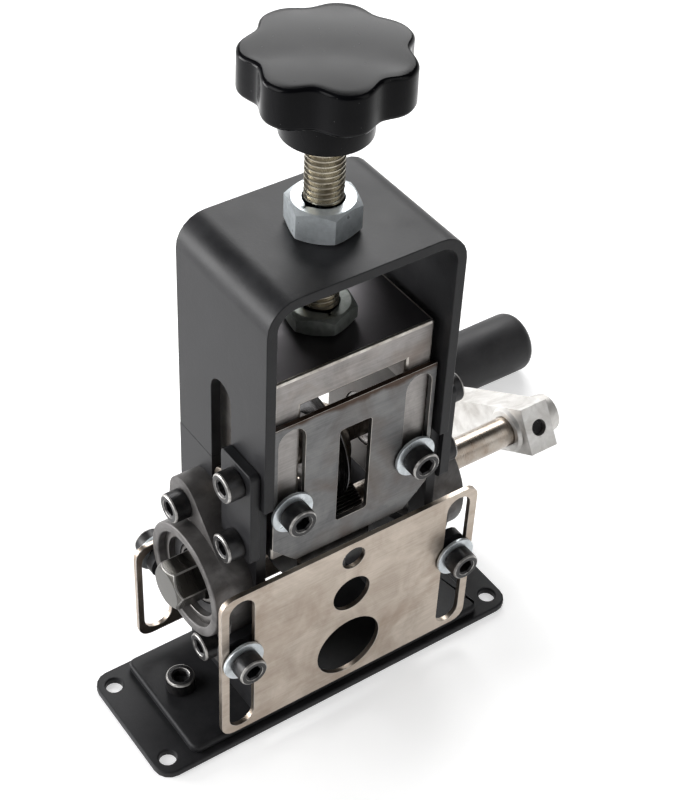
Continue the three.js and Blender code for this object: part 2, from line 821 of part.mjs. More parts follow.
// Star knob outline at a distance inside its edge
function starOutline(inset) {
  const points = [];
  const count = knobLobes * 12;
  const middle = knobRadius - knobLobeDepth / 2 - inset;
  for (let i = 0; i < count; i += 1) {
    const angle = (i / count) * Math.PI * 2;
    const radius = middle + (knobLobeDepth / 2) * Math.cos(knobLobes * angle);
    points.push(new THREE.Vector2(radius * Math.cos(angle), radius * Math.sin(angle)));
  }
  return points;
}

// Skin over a stack of outlines of equal length, closed by a fan at both ends
function loft(sections) {
  const count = sections[0].outline.length;
  const positions = [];
  sections.forEach(({ outline, height }) => outline.forEach(({ x, y }) => positions.push(x, y, height)));
  const index = [];
  const last = sections.length - 1;
  for (let i = 0; i < count; i += 1) {
    const next = (i + 1) % count;
    for (let row = 0; row < last; row += 1) {
      const [a, b] = [row * count + i, row * count + next];
      index.push(a, b, b + count, a, b + count, a + count);
    }
    index.push(positions.length / 3, next, i);
    index.push(positions.length / 3 + 1, last * count + i, last * count + next);
  }
  positions.push(0, 0, sections[0].height, 0, 0, sections[last].height);
  const geometry = new THREE.BufferGeometry();
  geometry.setAttribute('position', new THREE.Float32BufferAttribute(positions, 3));
  geometry.setIndex(index);
  return geometry;
}

function starKnob() {
  const layers = [
    { inset: 1.5, height: 0 },
    { inset: 0.3, height: 0.6 },
    { inset: 0, height: 1.8 },
    { inset: 0, height: knobThickness - 3.6 },
    { inset: 0.7, height: knobThickness - 1.8 },
    { inset: 2.4, height: knobThickness - 0.6 },
    { inset: 6, height: knobThickness },
  ];
  const star = loft(layers.map(({ inset, height }) => ({ outline: starOutline(inset), height })));
  const hub = turned([
    [0, -knobHubHeight],
    [knobHubRadius - chamfer, -knobHubHeight],
    [knobHubRadius, chamfer - knobHubHeight],
    [knobHubRadius, knobThickness / 2],
    [0, knobThickness / 2],
  ]);
  const socket = plate(circle(0, 0, rodHole), [], knobSocketDepth * 2, -knobHubHeight - knobSocketDepth);
  const place = { z: knobBottom + knobHubHeight };
  const knob = piece('star_knob', carve([star, hub], [socket]), blackPlastic, place);
  knob.rotation.z = THREE.MathUtils.degToRad(knobTurn);
  return knob;
}

function pressureScrew() {
  const barZ = carriageTop - carriageBar;
  const retainingTop = barZ - seatGap;
  const rodBottom = retainingTop - carriageNutHeight - rodTail;
  const rodTop = knobBottom + knobSocketDepth - seatGap;
  const rod = turned([
    [0, rodBottom],
    [rodRadius - chamfer, rodBottom],
    [rodRadius, rodBottom + chamfer],
    [rodRadius, rodTop],
    [0, rodTop],
  ]);
  const thinNut = nut(carriageNutHeight, carriageNutTurn);
  return [
    piece('pressure_screw', carve([rod]), steelZinc),
    piece('carriage_nut', thinNut, steelZinc, { z: carriageTop + seatGap }),
    piece('retaining_nut', thinNut, steelZinc, { z: retainingTop - carriageNutHeight }),
    piece('frame_nut', nut(frameNutHeight, frameNutTurn), steelZinc, { z: frameTop }),
    starKnob(),
  ];
}

const machine = groupOf(
  basePlate(),
  footPlate(),
  cheeks(),
  footScrews(),
  upperFrame(),
  splices().flat(),
  bearings().flat(),
  guidePlates().flat(),
  carriage().flat(),
  blade(),
  pressureScrew(),
);

// At rest the crank lies on the bench on its grip
const driven = crank();
driven.position.set(0, 0, shaftZ);
driven.rotation.x = -Math.asin((shaftZ - gripRadius) / crankLength);
machine.add(driven);

export default machine;
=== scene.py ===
import json
import math

import bmesh
import bpy
from mathutils import Matrix, Vector


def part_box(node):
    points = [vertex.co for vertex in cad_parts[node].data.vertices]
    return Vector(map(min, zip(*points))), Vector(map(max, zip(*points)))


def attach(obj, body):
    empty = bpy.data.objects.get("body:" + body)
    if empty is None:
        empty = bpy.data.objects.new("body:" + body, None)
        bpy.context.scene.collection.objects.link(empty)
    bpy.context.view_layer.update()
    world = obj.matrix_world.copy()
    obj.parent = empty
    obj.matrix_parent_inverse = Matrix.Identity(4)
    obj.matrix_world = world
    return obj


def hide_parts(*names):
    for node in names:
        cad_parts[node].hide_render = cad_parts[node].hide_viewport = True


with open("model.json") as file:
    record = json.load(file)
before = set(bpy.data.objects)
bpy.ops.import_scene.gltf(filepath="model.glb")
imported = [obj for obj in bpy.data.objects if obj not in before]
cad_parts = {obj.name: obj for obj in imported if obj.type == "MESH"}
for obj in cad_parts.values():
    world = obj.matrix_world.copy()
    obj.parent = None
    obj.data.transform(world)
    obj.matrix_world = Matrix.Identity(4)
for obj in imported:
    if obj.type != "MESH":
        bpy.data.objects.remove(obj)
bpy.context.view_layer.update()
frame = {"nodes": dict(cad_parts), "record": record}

toMetres = Matrix.Scale(0.001, 4)
toMillimetres = Matrix.Scale(1000, 4)
fullTurn = 2 * math.pi
quarterTurn = [math.radians(step * 15) for step in range(7)]
smallSteps = 72  # sides of a small round, twelve to each side of a hexagon
largeSteps = 96
shaftHeight = 53  # the drive shaft's axis above the bench, in mm
alongShaft = (1, 0, 0)
weldGap = 1e-4  # corners closer than this, in mm, are one
flatAngle = 0.01  # and so are faces that differ by less than this, in radians
sharpAngle = math.radians(30)
bodyOf = {node: body for body, nodes in frame["record"]["behaviour"]["bodies"].items() for node in nodes}


class Signal:  # one socket of a node tree, so that sums on it add the nodes they need
    def __init__(self, nodes, socket):
        self.nodes = nodes
        self.socket = socket

    def maths(self, operation, *values):
        return self.nodes.node("Math", {"operation": operation}, dict(enumerate(values)))

    def __add__(self, other):
        return self.maths("ADD", self, other)

    def __sub__(self, other):
        return self.maths("SUBTRACT", self, other)

    def __rsub__(self, other):
        return self.maths("SUBTRACT", other, self)

    def __mul__(self, other):
        return self.maths("MULTIPLY", self, other)

    def __pow__(self, other):
        return self.maths("POWER", self, other)


class NodeTree:  # the nodes of a material or a world, which take plain numbers or signals
    def __init__(self, tree):
        self.tree = tree

    def node(self, kind, settings, values, output=0):
        made = self.tree.nodes.new("ShaderNode" + kind)
        for key, value in settings.items():
            if key == "stops":
                ramp = made.color_ramp.elements
                while len(ramp) < len(value):
                    ramp.new(1)
                for stop, (place, colour) in zip(ramp, value):
                    stop.position = place
                    stop.color = (*colour, 1)
            else:
                setattr(made, key, value)
        for key, value in values.items():
            if isinstance(value, Signal):
                self.tree.links.new(value.socket, made.inputs[key])
            else:
                made.inputs[key].default_value = value
        return Signal(self, made.outputs[output])


class Finish(NodeTree):  # one material
    def __init__(self, name, **constants):
        self.material = bpy.data.materials.new(name)
        self.material.use_nodes = True
        super().__init__(self.material.node_tree)
        self.shader = self.tree.nodes["Principled BSDF"]
        self.point = self.node("TexCoord", {}, {}, "Object")
        for socket, value in constants.items():
            self.shader.inputs[socket.replace("_", " ")].default_value = value

    def feed(self, socket, signal):
        self.tree.links.new(signal.socket, self.shader.inputs[socket])

    def along(self, axis):
        return self.node("SeparateXYZ", {}, {0: self.point}, axis)

    def stretched(self, scale=(1, 1, 1), shift=(0, 0, 0)):
        return self.node("Mapping", {}, {"Vector": self.point, "Scale": scale, "Location": shift})

    def cloud(self, size, detail=3, roughness=0.5, where=None, distortion=0):  # size is a blotch in mm
        values = {"Vector": where or self.point, "Scale": 1000 / size, "Detail": detail,
                  "Roughness": roughness, "Distortion": distortion}
        return self.node("TexNoise", {}, values)

    def cells(self, size):
        return self.node("TexVoronoi", {}, {"Vector": self.point, "Scale": 1000 / size}, "Distance")

    def between(self, signal, low, high, first=0, last=1):
        values = {0: signal, 1: low, 2: high, 3: first, 4: last}
        return self.node("MapRange", {"clamp": True}, values)

    def shades(self, signal, *stops):
        return self.node("ValToRGB", {"stops": stops}, {0: signal}, "Color")

    def mixed(self, mask, first, second):
        first, second = (tone if isinstance(tone, Signal) else (*tone, 1) for tone in (first, second))
        return self.node("Mix", {"data_type": "RGBA"}, {0: mask, 6: first, 7: second}, 2)

    def below(self, axis, place, fade=0.3):  # one where a coordinate is lower than a place in mm
        return self.between(self.along(axis), place / 1000, (place + fade) / 1000, 1, 0)

    def bump(self, height, depth, strength):  # depth in mm
        return self.node("Bump", {}, {"Height": height, "Distance": depth / 1000, "Strength": strength})


def powderCoat(name, gloss, dust):
    look = {"base": (0.012, 0.012, 0.0135), "worn": (0.028, 0.028, 0.03), "dust": (0.16, 0.155, 0.15),
            "shine": 0.2, "peel": 0.9, "grain": 0.28, "handled": 14, "scuffs": 7}
    coat = Finish(name, IOR=1.5, Specular_IOR_Level=look["shine"])
    peel = coat.cloud(look["peel"], 2, 0.45)
    grain = coat.cells(look["grain"])
    handling = coat.cloud(look["handled"], 5, 0.6)
    scuffs = coat.cloud(look["scuffs"], 8, 0.75, coat.stretched((1, 1, 0.35)), 0.4)
    scuffMask = coat.between(scuffs, 0.58, 0.78, 0, dust)
    base = coat.mixed(coat.between(handling, 0.35, 0.7), look["base"], look["worn"])
    coat.feed("Base Color", coat.mixed(scuffMask, base, look["dust"]))
    coat.feed("Roughness", coat.between(handling, 0.3, 0.75, gloss, gloss + 0.12) + scuffMask * 0.4)
    coat.feed("Normal", coat.bump(peel * 0.7 + grain * 0.3, 0.05, 0.5))
    return coat


def rolledSteel(name, light, dark, stain, gloss, staining, hollow=None, scale=None, grime=None):
    look = {"grain": 0.5, "drawn": (0.03, 1, 1), "mottle": 11, "patches": 23, "pits": 1.3}
    steel = Finish(name, Metallic=1.0)
    grain = steel.cloud(look["grain"], 3, 0.6, steel.stretched(look["drawn"]))
    mottle = steel.cloud(look["mottle"], 6, 0.62, None, 0.6)
    patches = steel.cloud(look["patches"], 4, 0.55, steel.stretched(shift=(0.031, 0.017, 0.042)), 0.8)
    tone = steel.shades(mottle * 0.75 + grain * 0.25, (0.32, dark), (0.66, light))
    stainsAndShade = steel.mixed(steel.between(patches, 0.46, 0.68, 0, staining), tone, stain)
    specks = steel.between(steel.cells(look["pits"]), 0.05, 0.12, 0.35, 0)
    if hollow:  # painted shade inside the hollow of a block, up to a distance from the middle in mm
        reach, height, hollowShade = hollow
        inside = steel.below("X", reach) - steel.below("X", -reach)
        stainsAndShade = steel.mixed(inside * steel.below("Z", height), stainsAndShade, hollowShade)
    if scale:  # painted shade on an upper face that lies under another part, above a height in mm; scale holds that height and the shade's colour
        height, skin = scale
        stainsAndShade = steel.mixed(1 - steel.below("Z", height, 0.05), stainsAndShade, skin)
    if grime:  # rusty oil that has crept down from an upper edge
        height, depth, rust = grime
        creep = steel.along("Z") + patches * (depth / 250)
        start, end = (height + depth) / 1000, (height + depth * 1.6) / 1000
        stainsAndShade = steel.mixed(steel.between(creep, start, end), stainsAndShade, rust)
    steel.feed("Base Color", steel.mixed(specks, stainsAndShade, dark))
    steel.feed("Roughness", steel.between(mottle, 0.3, 0.7, gloss, gloss + 0.16) + specks * 0.3)
    steel.feed("Normal", steel.bump(grain * 0.6 + mottle * 0.4, 0.03, 0.45))
    return steel


def platedSteel(name, colour, tint, gloss, metal=1.0):
    look = {"haze": 3.2, "fine": 0.25}
    plate = Finish(name, Metallic=metal)
    haze = plate.cloud(look["haze"], 5, 0.6)
    plate.feed("Base Color", plate.mixed(plate.between(haze, 0.35, 0.7), colour, tint))
    plate.feed("Roughness", plate.between(haze, 0.3, 0.7, gloss, gloss + 0.13))
    plate.feed("Normal", plate.bump(plate.cloud(look["fine"], 2, 0.5), 0.012, 0.5))
    return plate


def turnedSteel(name, colour, dark, gloss, dulled=None):  # faint rings left by the lathe, across X
    look = {"rings": 0.35, "drawn": (1, 0.02, 0.02), "haze": 6}
    steel = Finish(name, Metallic=1.0)
    rings = steel.cloud(look["rings"], 3, 0.7, steel.stretched(look["drawn"]))
    haze = steel.cloud(look["haze"], 5, 0.6)
    tone = steel.mixed(steel.between(haze, 0.4, 0.72), colour, dark)
    if dulled:  # darker where X is lower than a place in mm
        place, dullColour = dulled
        tone = steel.mixed(steel.below("X", place), tone, dullColour)
    steel.feed("Base Color", tone)
    steel.feed("Roughness", steel.between(rings, 0.3, 0.7, gloss, gloss + 0.06))
    steel.feed("Normal", steel.bump(rings, 0.005, 0.4))
    return steel


def blackOxide():
    look = {"base": (0.014, 0.014, 0.016), "worn": (0.04, 0.037, 0.035), "haze": 1.8, "fine": 0.2}
    oxide = Finish("blackOxide", Metallic=0.4, IOR=1.5)
    haze = oxide.cloud(look["haze"], 5, 0.6)
    oxide.feed("Base Color", oxide.mixed(oxide.between(haze, 0.4, 0.75), look["base"], look["worn"]))
    oxide.feed("Roughness", oxide.between(haze, 0.3, 0.7, 0.3, 0.46))
    oxide.feed("Normal", oxide.bump(oxide.cloud(look["fine"], 2, 0.5), 0.015, 0.4))
    return oxide


def mouldedPlastic():
    look = {"base": (0.004, 0.004, 0.005), "mote": (0.1, 0.1, 0.1), "flow": 9, "fine": 0.45, "motes": 2.4}
    plastic = Finish("mouldedPlastic", IOR=1.5, Specular_IOR_Level=0.09, Coat_Roughness=0.06)
    flow = plastic.cloud(look["flow"], 3, 0.5)
    fine = plastic.cloud(look["fine"], 2, 0.5)
    motes = plastic.between(plastic.cells(look["motes"]), 0.03, 0.07, 1, 0)
    plastic.feed("Base Color", plastic.mixed(motes * 0.5, look["base"], look["mote"]))
    plastic.feed("Roughness", plastic.between(flow, 0.3, 0.7, 0.15, 0.25) + motes * 0.3)
    plastic.feed("Coat Weight", plastic.between(flow, 0.3, 0.7, 0.0, 0.02))
    plastic.feed("Normal", plastic.bump(flow * 0.8 + fine * 0.2, 0.06, 0.22))
    return plastic


def gripRubber():
    look = {"base": (0.013, 0.013, 0.014), "handled": (0.032, 0.031, 0.033), "grain": 0.32, "blotch": 10}
    rubber = Finish("gripRubber", IOR=1.48, Specular_IOR_Level=0.35)
    handling = rubber.cloud(look["blotch"], 5, 0.6)
    tone = rubber.mixed(rubber.between(handling, 0.35, 0.7), look["base"], look["handled"])
    rubber.feed("Base Color", tone)
    rubber.feed("Roughness", rubber.between(handling, 0.3, 0.7, 0.42, 0.58))
    rubber.feed("Normal", rubber.bump(rubber.cloud(look["grain"], 3, 0.6), 0.03, 0.5))
    return rubber


def dieCast(name, light, dark, gloss, grain, metal):
    look = {"stain": 8, "pores": 1.7}
    cast = Finish(name, Metallic=metal)
    skin = cast.cloud(grain, 4, 0.65)
    stain = cast.cloud(look["stain"], 5, 0.6, None, 0.5)
    pores = cast.between(cast.cells(look["pores"]), 0.04, 0.1, 0.5, 0)
    cast.feed("Base Color", cast.mixed(pores, cast.mixed(cast.between(stain, 0.36, 0.68), light, dark), dark))
    cast.feed("Roughness", cast.between(stain, 0.3, 0.7, gloss, gloss + 0.14))
    cast.feed("Normal", cast.bump(skin, 0.05, 0.55))
    return cast


def hardenedBlade():
    look = {"light": (0.13, 0.13, 0.135), "dark": (0.05, 0.047, 0.045), "axle": 0.084, "rings": 0.3, "heat": 6}
    steel = Finish("hardenedBlade", Metallic=1.0)
    depth, height = steel.along("Y"), steel.along("Z") - look["axle"]
    radius = (depth * depth + height * height) ** 0.5
    rings = steel.cloud(look["rings"], 3, 0.7, steel.node("CombineXYZ", {}, {0: radius, 1: 0.0, 2: 0.0}))
    heat = steel.cloud(look["heat"], 4, 0.6)
    steel.feed("Base Color", steel.mixed(steel.between(heat, 0.35, 0.7), look["light"], look["dark"]))
    steel.feed("Roughness", steel.between(rings, 0.3, 0.7, 0.2, 0.36))
    steel.feed("Normal", steel.bump(rings, 0.015, 0.6))
    return steel


satinPaint = powderCoat("satinPaint", 0.38, 0.12)
floorPaint = powderCoat("floorPaint", 0.42, 0.08)
guideSteel = rolledSteel("guideSteel", (0.57, 0.5, 0.43), (0.34, 0.285, 0.235), (0.25, 0.18, 0.13), 0.3, 0.6)
coverSteel = rolledSteel("coverSteel", (0.2, 0.2, 0.198), (0.08, 0.08, 0.083), (0.1, 0.075, 0.06), 0.34, 0.7,
                         grime=(114.0, 2.4, (0.06, 0.04, 0.03)))
# the carriage's hollow and its top face under the frame get painted shade
carriageSteel = rolledSteel("carriageSteel", (0.4, 0.38, 0.365), (0.18, 0.17, 0.165), (0.17, 0.12, 0.09), 0.42,
                            0.5, hollow=(15.9, 109.6, (0.03, 0.028, 0.027)), scale=(127.2, (0.1, 0.095, 0.1)))
brightEdge = platedSteel("brightEdge", (0.6, 0.57, 0.53), (0.28, 0.25, 0.22), 0.3)
zincPlate = platedSteel("zincPlate", (0.76, 0.81, 0.84), (0.48, 0.52, 0.54), 0.26, 0.6)
rodZinc = platedSteel("rodZinc", (0.5, 0.465, 0.38), (0.2, 0.175, 0.135), 0.22, 0.9)
darkNut = platedSteel("darkNut", (0.3, 0.32, 0.3), (0.15, 0.165, 0.15), 0.28, 0.65)
shaftSteel = turnedSteel("shaftSteel", (0.42, 0.38, 0.335), (0.25, 0.195, 0.15), 0.26,
                         dulled=(-34.9, (0.1, 0.096, 0.088)))
ringSteel = turnedSteel("ringSteel", (0.18, 0.17, 0.165), (0.1, 0.095, 0.09), 0.28)
rollerSteel = turnedSteel("rollerSteel", (0.14, 0.135, 0.13), (0.06, 0.055, 0.05), 0.34)
oxideSteel = blackOxide()
knobPlastic = mouldedPlastic()
gripBlack = gripRubber()
housingZinc = dieCast("housingZinc", (0.15, 0.143, 0.14), (0.07, 0.066, 0.064), 0.42, 0.55, 0.6)
armMetal = dieCast("armMetal", (0.76, 0.75, 0.73), (0.5, 0.48, 0.455), 0.42, 0.4, 0.85)
bladeSteel = hardenedBlade()
wornOxide = platedSteel("wornOxide", (0.55, 0.54, 0.52), (0.16, 0.15, 0.145), 0.32, 0.8)
sealRubber = Finish("sealRubber", Base_Color=(0.02, 0.02, 0.022, 1), Roughness=0.5)
sealRubber.feed("Normal", sealRubber.bump(sealRubber.cloud(0.4), 0.02, 0.5))
print("finishes ready:", len(bpy.data.materials))


def placed(name, bm, finish, trim=None):  # a shape in mm becomes an object in metres
    bmesh.ops.transform(bm, matrix=toMetres, verts=bm.verts)
    mesh = bpy.data.meshes.new(name)
    bm.to_mesh(mesh)
    bm.free()
    mesh.shade_smooth()
    mesh.materials.append(finish.material)
    if trim:
        mesh.materials.append(trim.material)
    made = bpy.data.objects.new(name, mesh)
    bpy.context.scene.collection.objects.link(made)
    return made


def keep(name, bm, finish, body, stands=(), smooth=32, trim=None):
    bmesh.ops.recalc_face_normals(bm, faces=bm.faces)
    made = placed(name, bm, finish, trim)
    made.data.set_sharp_from_angle(angle=math.radians(smooth))
    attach(made, body)
    if stands:
        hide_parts(*stands)
    return made


def standIn(node, bm, finish, smooth=32, trim=None):
    return keep(node + "_detail", bm, finish, bodyOf[node], [node], smooth, trim)


def wornEdges(made, width, segments=2, limit=28, material=-1, clamp=True):
    bevel = made.modifiers.new("easedEdges", "BEVEL")
    bevel.width = width / 1000
    bevel.segments = segments
    bevel.limit_method = "ANGLE"
    bevel.angle_limit = math.radians(limit)
    bevel.use_clamp_overlap = clamp
    bevel.material = material
    flat = made.modifiers.new("flatFaces", "WEIGHTED_NORMAL")
    flat.weight = 100  # large faces keep their own normal


def extent(node):
    low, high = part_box(node)
    return low * 1000, high * 1000


def middle(node):
    low, high = extent(node)
    return (low + high) / 2


def cadShape(node, added=None):  # the CAD solid in mm, its coplanar faces joined
    bm = bmesh.new()
    bm.from_mesh(frame["nodes"][node].data)
    bmesh.ops.transform(bm, matrix=toMillimetres, verts=bm.verts)
    bmesh.ops.remove_doubles(bm, verts=bm.verts, dist=1e-3)
    if added:
        bm = combined(bm, added, "UNION")
    bmesh.ops.dissolve_limit(bm, angle_limit=math.radians(0.5), verts=bm.verts, edges=bm.edges)
    return bm


def bevelled(bm, edges, width, segments):
    return bmesh.ops.bevel(bm, geom=edges, offset=width, offset_type="OFFSET", segments=segments, profile=0.5,
                           affect="EDGES", material=-1, clamp_overlap=True)["faces"]


def brokenEdges(bm, width, least=15):  # a chamfer left bright on the long edges of a block
    edges = [edge for edge in bm.edges if len(edge.link_faces) == 2 and edge.calc_length() > least and
             edge.is_convex and edge.calc_face_angle() > 2 * sharpAngle]
    for face in bevelled(bm, edges, width, 2):
        face.material_index = 1


def dressed(node, finish, edge, segments=2, edgeFinish=None, added=None, broken=0, clamp=True):
    # the CAD shape with its edges eased
    bm = cadShape(node, added)
    if broken:
        brokenEdges(bm, broken)
    made = placed(node + "_detail", bm, finish, edgeFinish)
    wornEdges(made, edge, segments, material=1 if edgeFinish else -1, clamp=clamp)
    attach(made, bodyOf[node])
    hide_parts(node)


def spun(profile, steps=64, closed=False):  # profile is (radius, height) in mm, turned about Z
    bm = bmesh.new()
    points = [bm.verts.new((radius, 0, height)) for radius, height in profile]
    links = [bm.edges.new(pair) for pair in zip(points, points[1:])]
    if closed:
        links.append(bm.edges.new((points[-1], points[0])))
    bmesh.ops.spin(bm, geom=points + links, cent=(0, 0, 0), axis=(0, 0, 1), angle=fullTurn, steps=steps,
                   use_merge=True, use_duplicate=False)
    bmesh.ops.remove_doubles(bm, verts=bm.verts, dist=weldGap)
    bmesh.ops.recalc_face_normals(bm, faces=bm.faces)
    return bm


def tube(inner, outer, low, high, steps=64):
    return spun([(inner, low), (outer, low), (outer, high), (inner, high)], steps, True)


def ring(bm, count, radius, height, tooth=0.0):
    old = set(bm.edges)
    made = bmesh.ops.create_circle(bm, cap_ends=False, segments=count, radius=radius)
    for number, vert in enumerate(made["verts"]):
        vert.co.z = height
        if number % 2:
            vert.co.xy *= 1 - tooth / radius
    return [edge for edge in bm.edges if edge not in old]


def hexRing(bm, flats, height, reach=None, slope=0.0):  # a hexagon, its corners eased by a cone past a reach
    old = set(bm.edges)
    bmesh.ops.create_circle(bm, cap_ends=False, segments=6, radius=flats / math.sqrt(3))
    sides = [edge for edge in bm.edges if edge not in old]
    bmesh.ops.subdivide_edges(bm, edges=sides, cuts=smallSteps // 6 - 1)
    edges = [edge for edge in bm.edges if edge not in old]
    for vert in {vert for edge in edges for vert in edge.verts}:
        beyond = max(0, vert.co.xy.length - (reach or flats))
        vert.co.z = height - slope * beyond
    return edges


def skinned(bm, rings, capped=False):
    for first, second in zip(rings, rings[1:]):
        bmesh.ops.bridge_loops(bm, edges=first + second)
    for edges in (rings[0], rings[-1]) if capped else ():
        bmesh.ops.contextual_create(bm, geom=edges)
    return bm


def eased(bm, width, segments=3, where=None):
    edges = [edge for edge in bm.edges if len(edge.link_faces) == 2 and
             edge.calc_face_angle() > sharpAngle and (where is None or where(edge))]
    bevelled(bm, edges, width, segments)
    return bm


def aimed(bm, origin, outward, turn=0.0):  # stands a shape made along Z on a place, facing a side
    facing = Vector(outward).to_track_quat("Z", "Y").to_matrix().to_4x4()
    matrix = Matrix.Translation(origin) @ facing @ Matrix.Rotation(math.radians(turn), 4, "Z")
    bmesh.ops.transform(bm, matrix=matrix, verts=bm.verts)
    return bm


def combined(first, second, operation):  # union, difference or intersection of two closed shapes
    parts = []
    for bm in (first, second):
        mesh = bpy.data.meshes.new("part")
        bm.to_mesh(mesh)
        bm.free()
        part = bpy.data.objects.new("part", mesh)
        bpy.context.scene.collection.objects.link(part)
        parts.append(part)
    cut = parts[0].modifiers.new("cut", "BOOLEAN")
    cut.operation = operation
    cut.solver = "EXACT"
    cut.object = parts[1]
    bpy.context.view_layer.update()
    result = bmesh.new()
    result.from_object(parts[0], bpy.context.evaluated_depsgraph_get())
    for part in parts:
        bpy.data.objects.remove(part)
    bmesh.ops.remove_doubles(result, verts=result.verts, dist=weldGap)
    return result


def prism(count, radius, low, high):
    bm = bmesh.new()
    return skinned(bm, [ring(bm, count, radius, low), ring(bm, count, radius, high)], True)


def rearStep(side):  # brings a cheek's rear edge out to the frame's, above the rear guide's travel
    size = {"foot": 66.6, "taper": 3.0, "overlap": 1.0, "sheet": 3.0, "narrower": 3.2}
    low, high = extent("upper_frame")
    outer = high.x if side == "right" else low.x
    inner = outer - math.copysign(size["sheet"], outer)
    edge = high.y - size["narrower"]
    start = edge - size["overlap"]
    bm = bmesh.new()
    shape = [(start, size["foot"]), (edge, size["foot"]), (high.y, size["foot"] + size["taper"]),
             (high.y, low.z), (start, low.z)]
    face = bm.faces.new([bm.verts.new((inner, y, z)) for y, z in shape])
    grown = bmesh.ops.extrude_face_region(bm, geom=[face])
    moved = [item for item in grown["geom"] if isinstance(item, bmesh.types.BMVert)]
    bmesh.ops.translate(bm, verts=moved, vec=(outer - inner, 0, 0))
    bmesh.ops.recalc_face_normals(bm, faces=bm.faces)
    return bm


# Plates and blocks that keep their CAD shape
plateEdges = {"base": 0.55, "foot": 1.1, "cheek": 0.35, "frame": 0.45, "splice": 0.4, "guide": 0.22, "cover": 0.2,
              "block": 0.15, "blockChamfer": 0.9}
dressed("base_plate", floorPaint, plateEdges["base"], 3, clamp=False)
dressed("foot_plate", floorPaint, plateEdges["foot"], 4, clamp=False)
dressed("upper_frame", satinPaint, plateEdges["frame"], 3)
dressed("front_guide_plate", guideSteel, plateEdges["guide"], edgeFinish=brightEdge)
dressed("rear_guide_plate", guideSteel, plateEdges["guide"], edgeFinish=brightEdge)
dressed("cover_plate", coverSteel, plateEdges["cover"], edgeFinish=brightEdge)
dressed("carriage_block", carriageSteel, plateEdges["block"], edgeFinish=brightEdge,
        broken=plateEdges["blockChamfer"])
for side in ("left", "right"):
    dressed("cheek_" + side, satinPaint, plateEdges["cheek"], added=rearStep(side))
    dressed("side_plate_" + side, satinPaint, plateEdges["splice"], 3)
print("plates dressed")

capScrew = {"head": 4.25, "height": 5.0, "tooth": 0.16, "teeth": 36, "shank": 2.48, "point": 0.5, "mouth": 2.75,
            "foot": [(0.35, 0), (0.05, 0.3)], "knurl": (0.55, 0.75), "crown": [(0.04, 0.6), (0.18, 0.22), (0.5, 0)],
            "lead": [(0, 0), (0.12, 0.2)], "socket": 4.0, "socketSpan": (0.55, 2.9), "drillTip": (0.4, 3.6)}
screwTurns = [7, 41, 22, 53, 14, 33, 48, 3, 27, 18, 57, 36, 11, 45, 29, 50]  # degrees
washer = {"bore": 2.65, "radius": 6.25, "thickness": 1.0, "ease": 0.18}


def capScrewShape(shank):  # the socket's depths are measured down from the head's top
    size = capScrew
    head, top, mouth, tooth, stem = (size[key] for key in ("head", "height", "mouth", "tooth", "shank"))
    count, point, (knurlStart, knurlEnd) = size["teeth"] * 2, size["point"], size["knurl"]
    tipRadius, tipDepth = size["drillTip"]
    bm = bmesh.new()
    rings = [ring(bm, count, stem - point, -shank), ring(bm, count, stem, point - shank), ring(bm, count, stem, 0)]
    rings += [ring(bm, count, head - inset, height) for inset, height in size["foot"]]
    rings += [ring(bm, count, head, height, tooth) for height in (knurlStart, top - knurlEnd)]
    rings += [ring(bm, count, head - inset, top - drop) for inset, drop in size["crown"]]
    rings += [ring(bm, count, mouth - inset, top - drop) for inset, drop in size["lead"]]
    rings += [hexRing(bm, size["socket"], top - drop) for drop in size["socketSpan"]]
    rings.append(ring(bm, count, tipRadius, top - tipDepth))
    skinned(bm, rings, True)
    handled = [(head - 0.5, head - 0.02, top - 0.6), (mouth - 0.2, mouth, top - 0.21)]
    for face in bm.faces:  # the handled rims shine
        place = face.calc_center_median()
        face.material_index = int(any(inner < place.xy.length < outer and low < place.z < top
                                      for inner, outer, low in handled))
    return bm


def outwardOf(node):  # the side that a screw's head or a washer's open face looks to
    for word, way in (("foot", (0, 0, 1)), ("cover", (0, -1, 0)), ("front", (0, -1, 0)), ("rear", (0, 1, 0))):
        if node.startswith(word):
            return Vector(way)
    return Vector((-1 if node.endswith("left") else 1, 0, 0))


def innerEnd(node, outward):  # the middle of the end that looks inwards, and the length
    low, high = extent(node)
    length = abs((high - low).dot(outward))
    return middle(node) - outward * length / 2, length


for number, node in enumerate(sorted(node for node in frame["nodes"] if "screw_" in node)):
    outward = outwardOf(node)
    tip, length = innerEnd(node, outward)
    shank = length - capScrew["height"]
    shape = aimed(capScrewShape(shank), tip + outward * shank, outward, screwTurns[number % len(screwTurns)])
    standIn(node, shape, oxideSteel, trim=wornOxide)
for node in sorted(node for node in frame["nodes"] if "washer_" in node):
    outward = outwardOf(node)
    shape = eased(tube(washer["bore"], washer["radius"], 0, washer["thickness"], 56), washer["ease"], 2)
    standIn(node, aimed(shape, innerEnd(node, outward)[0], outward), zincPlate)
print("screws and washers placed")


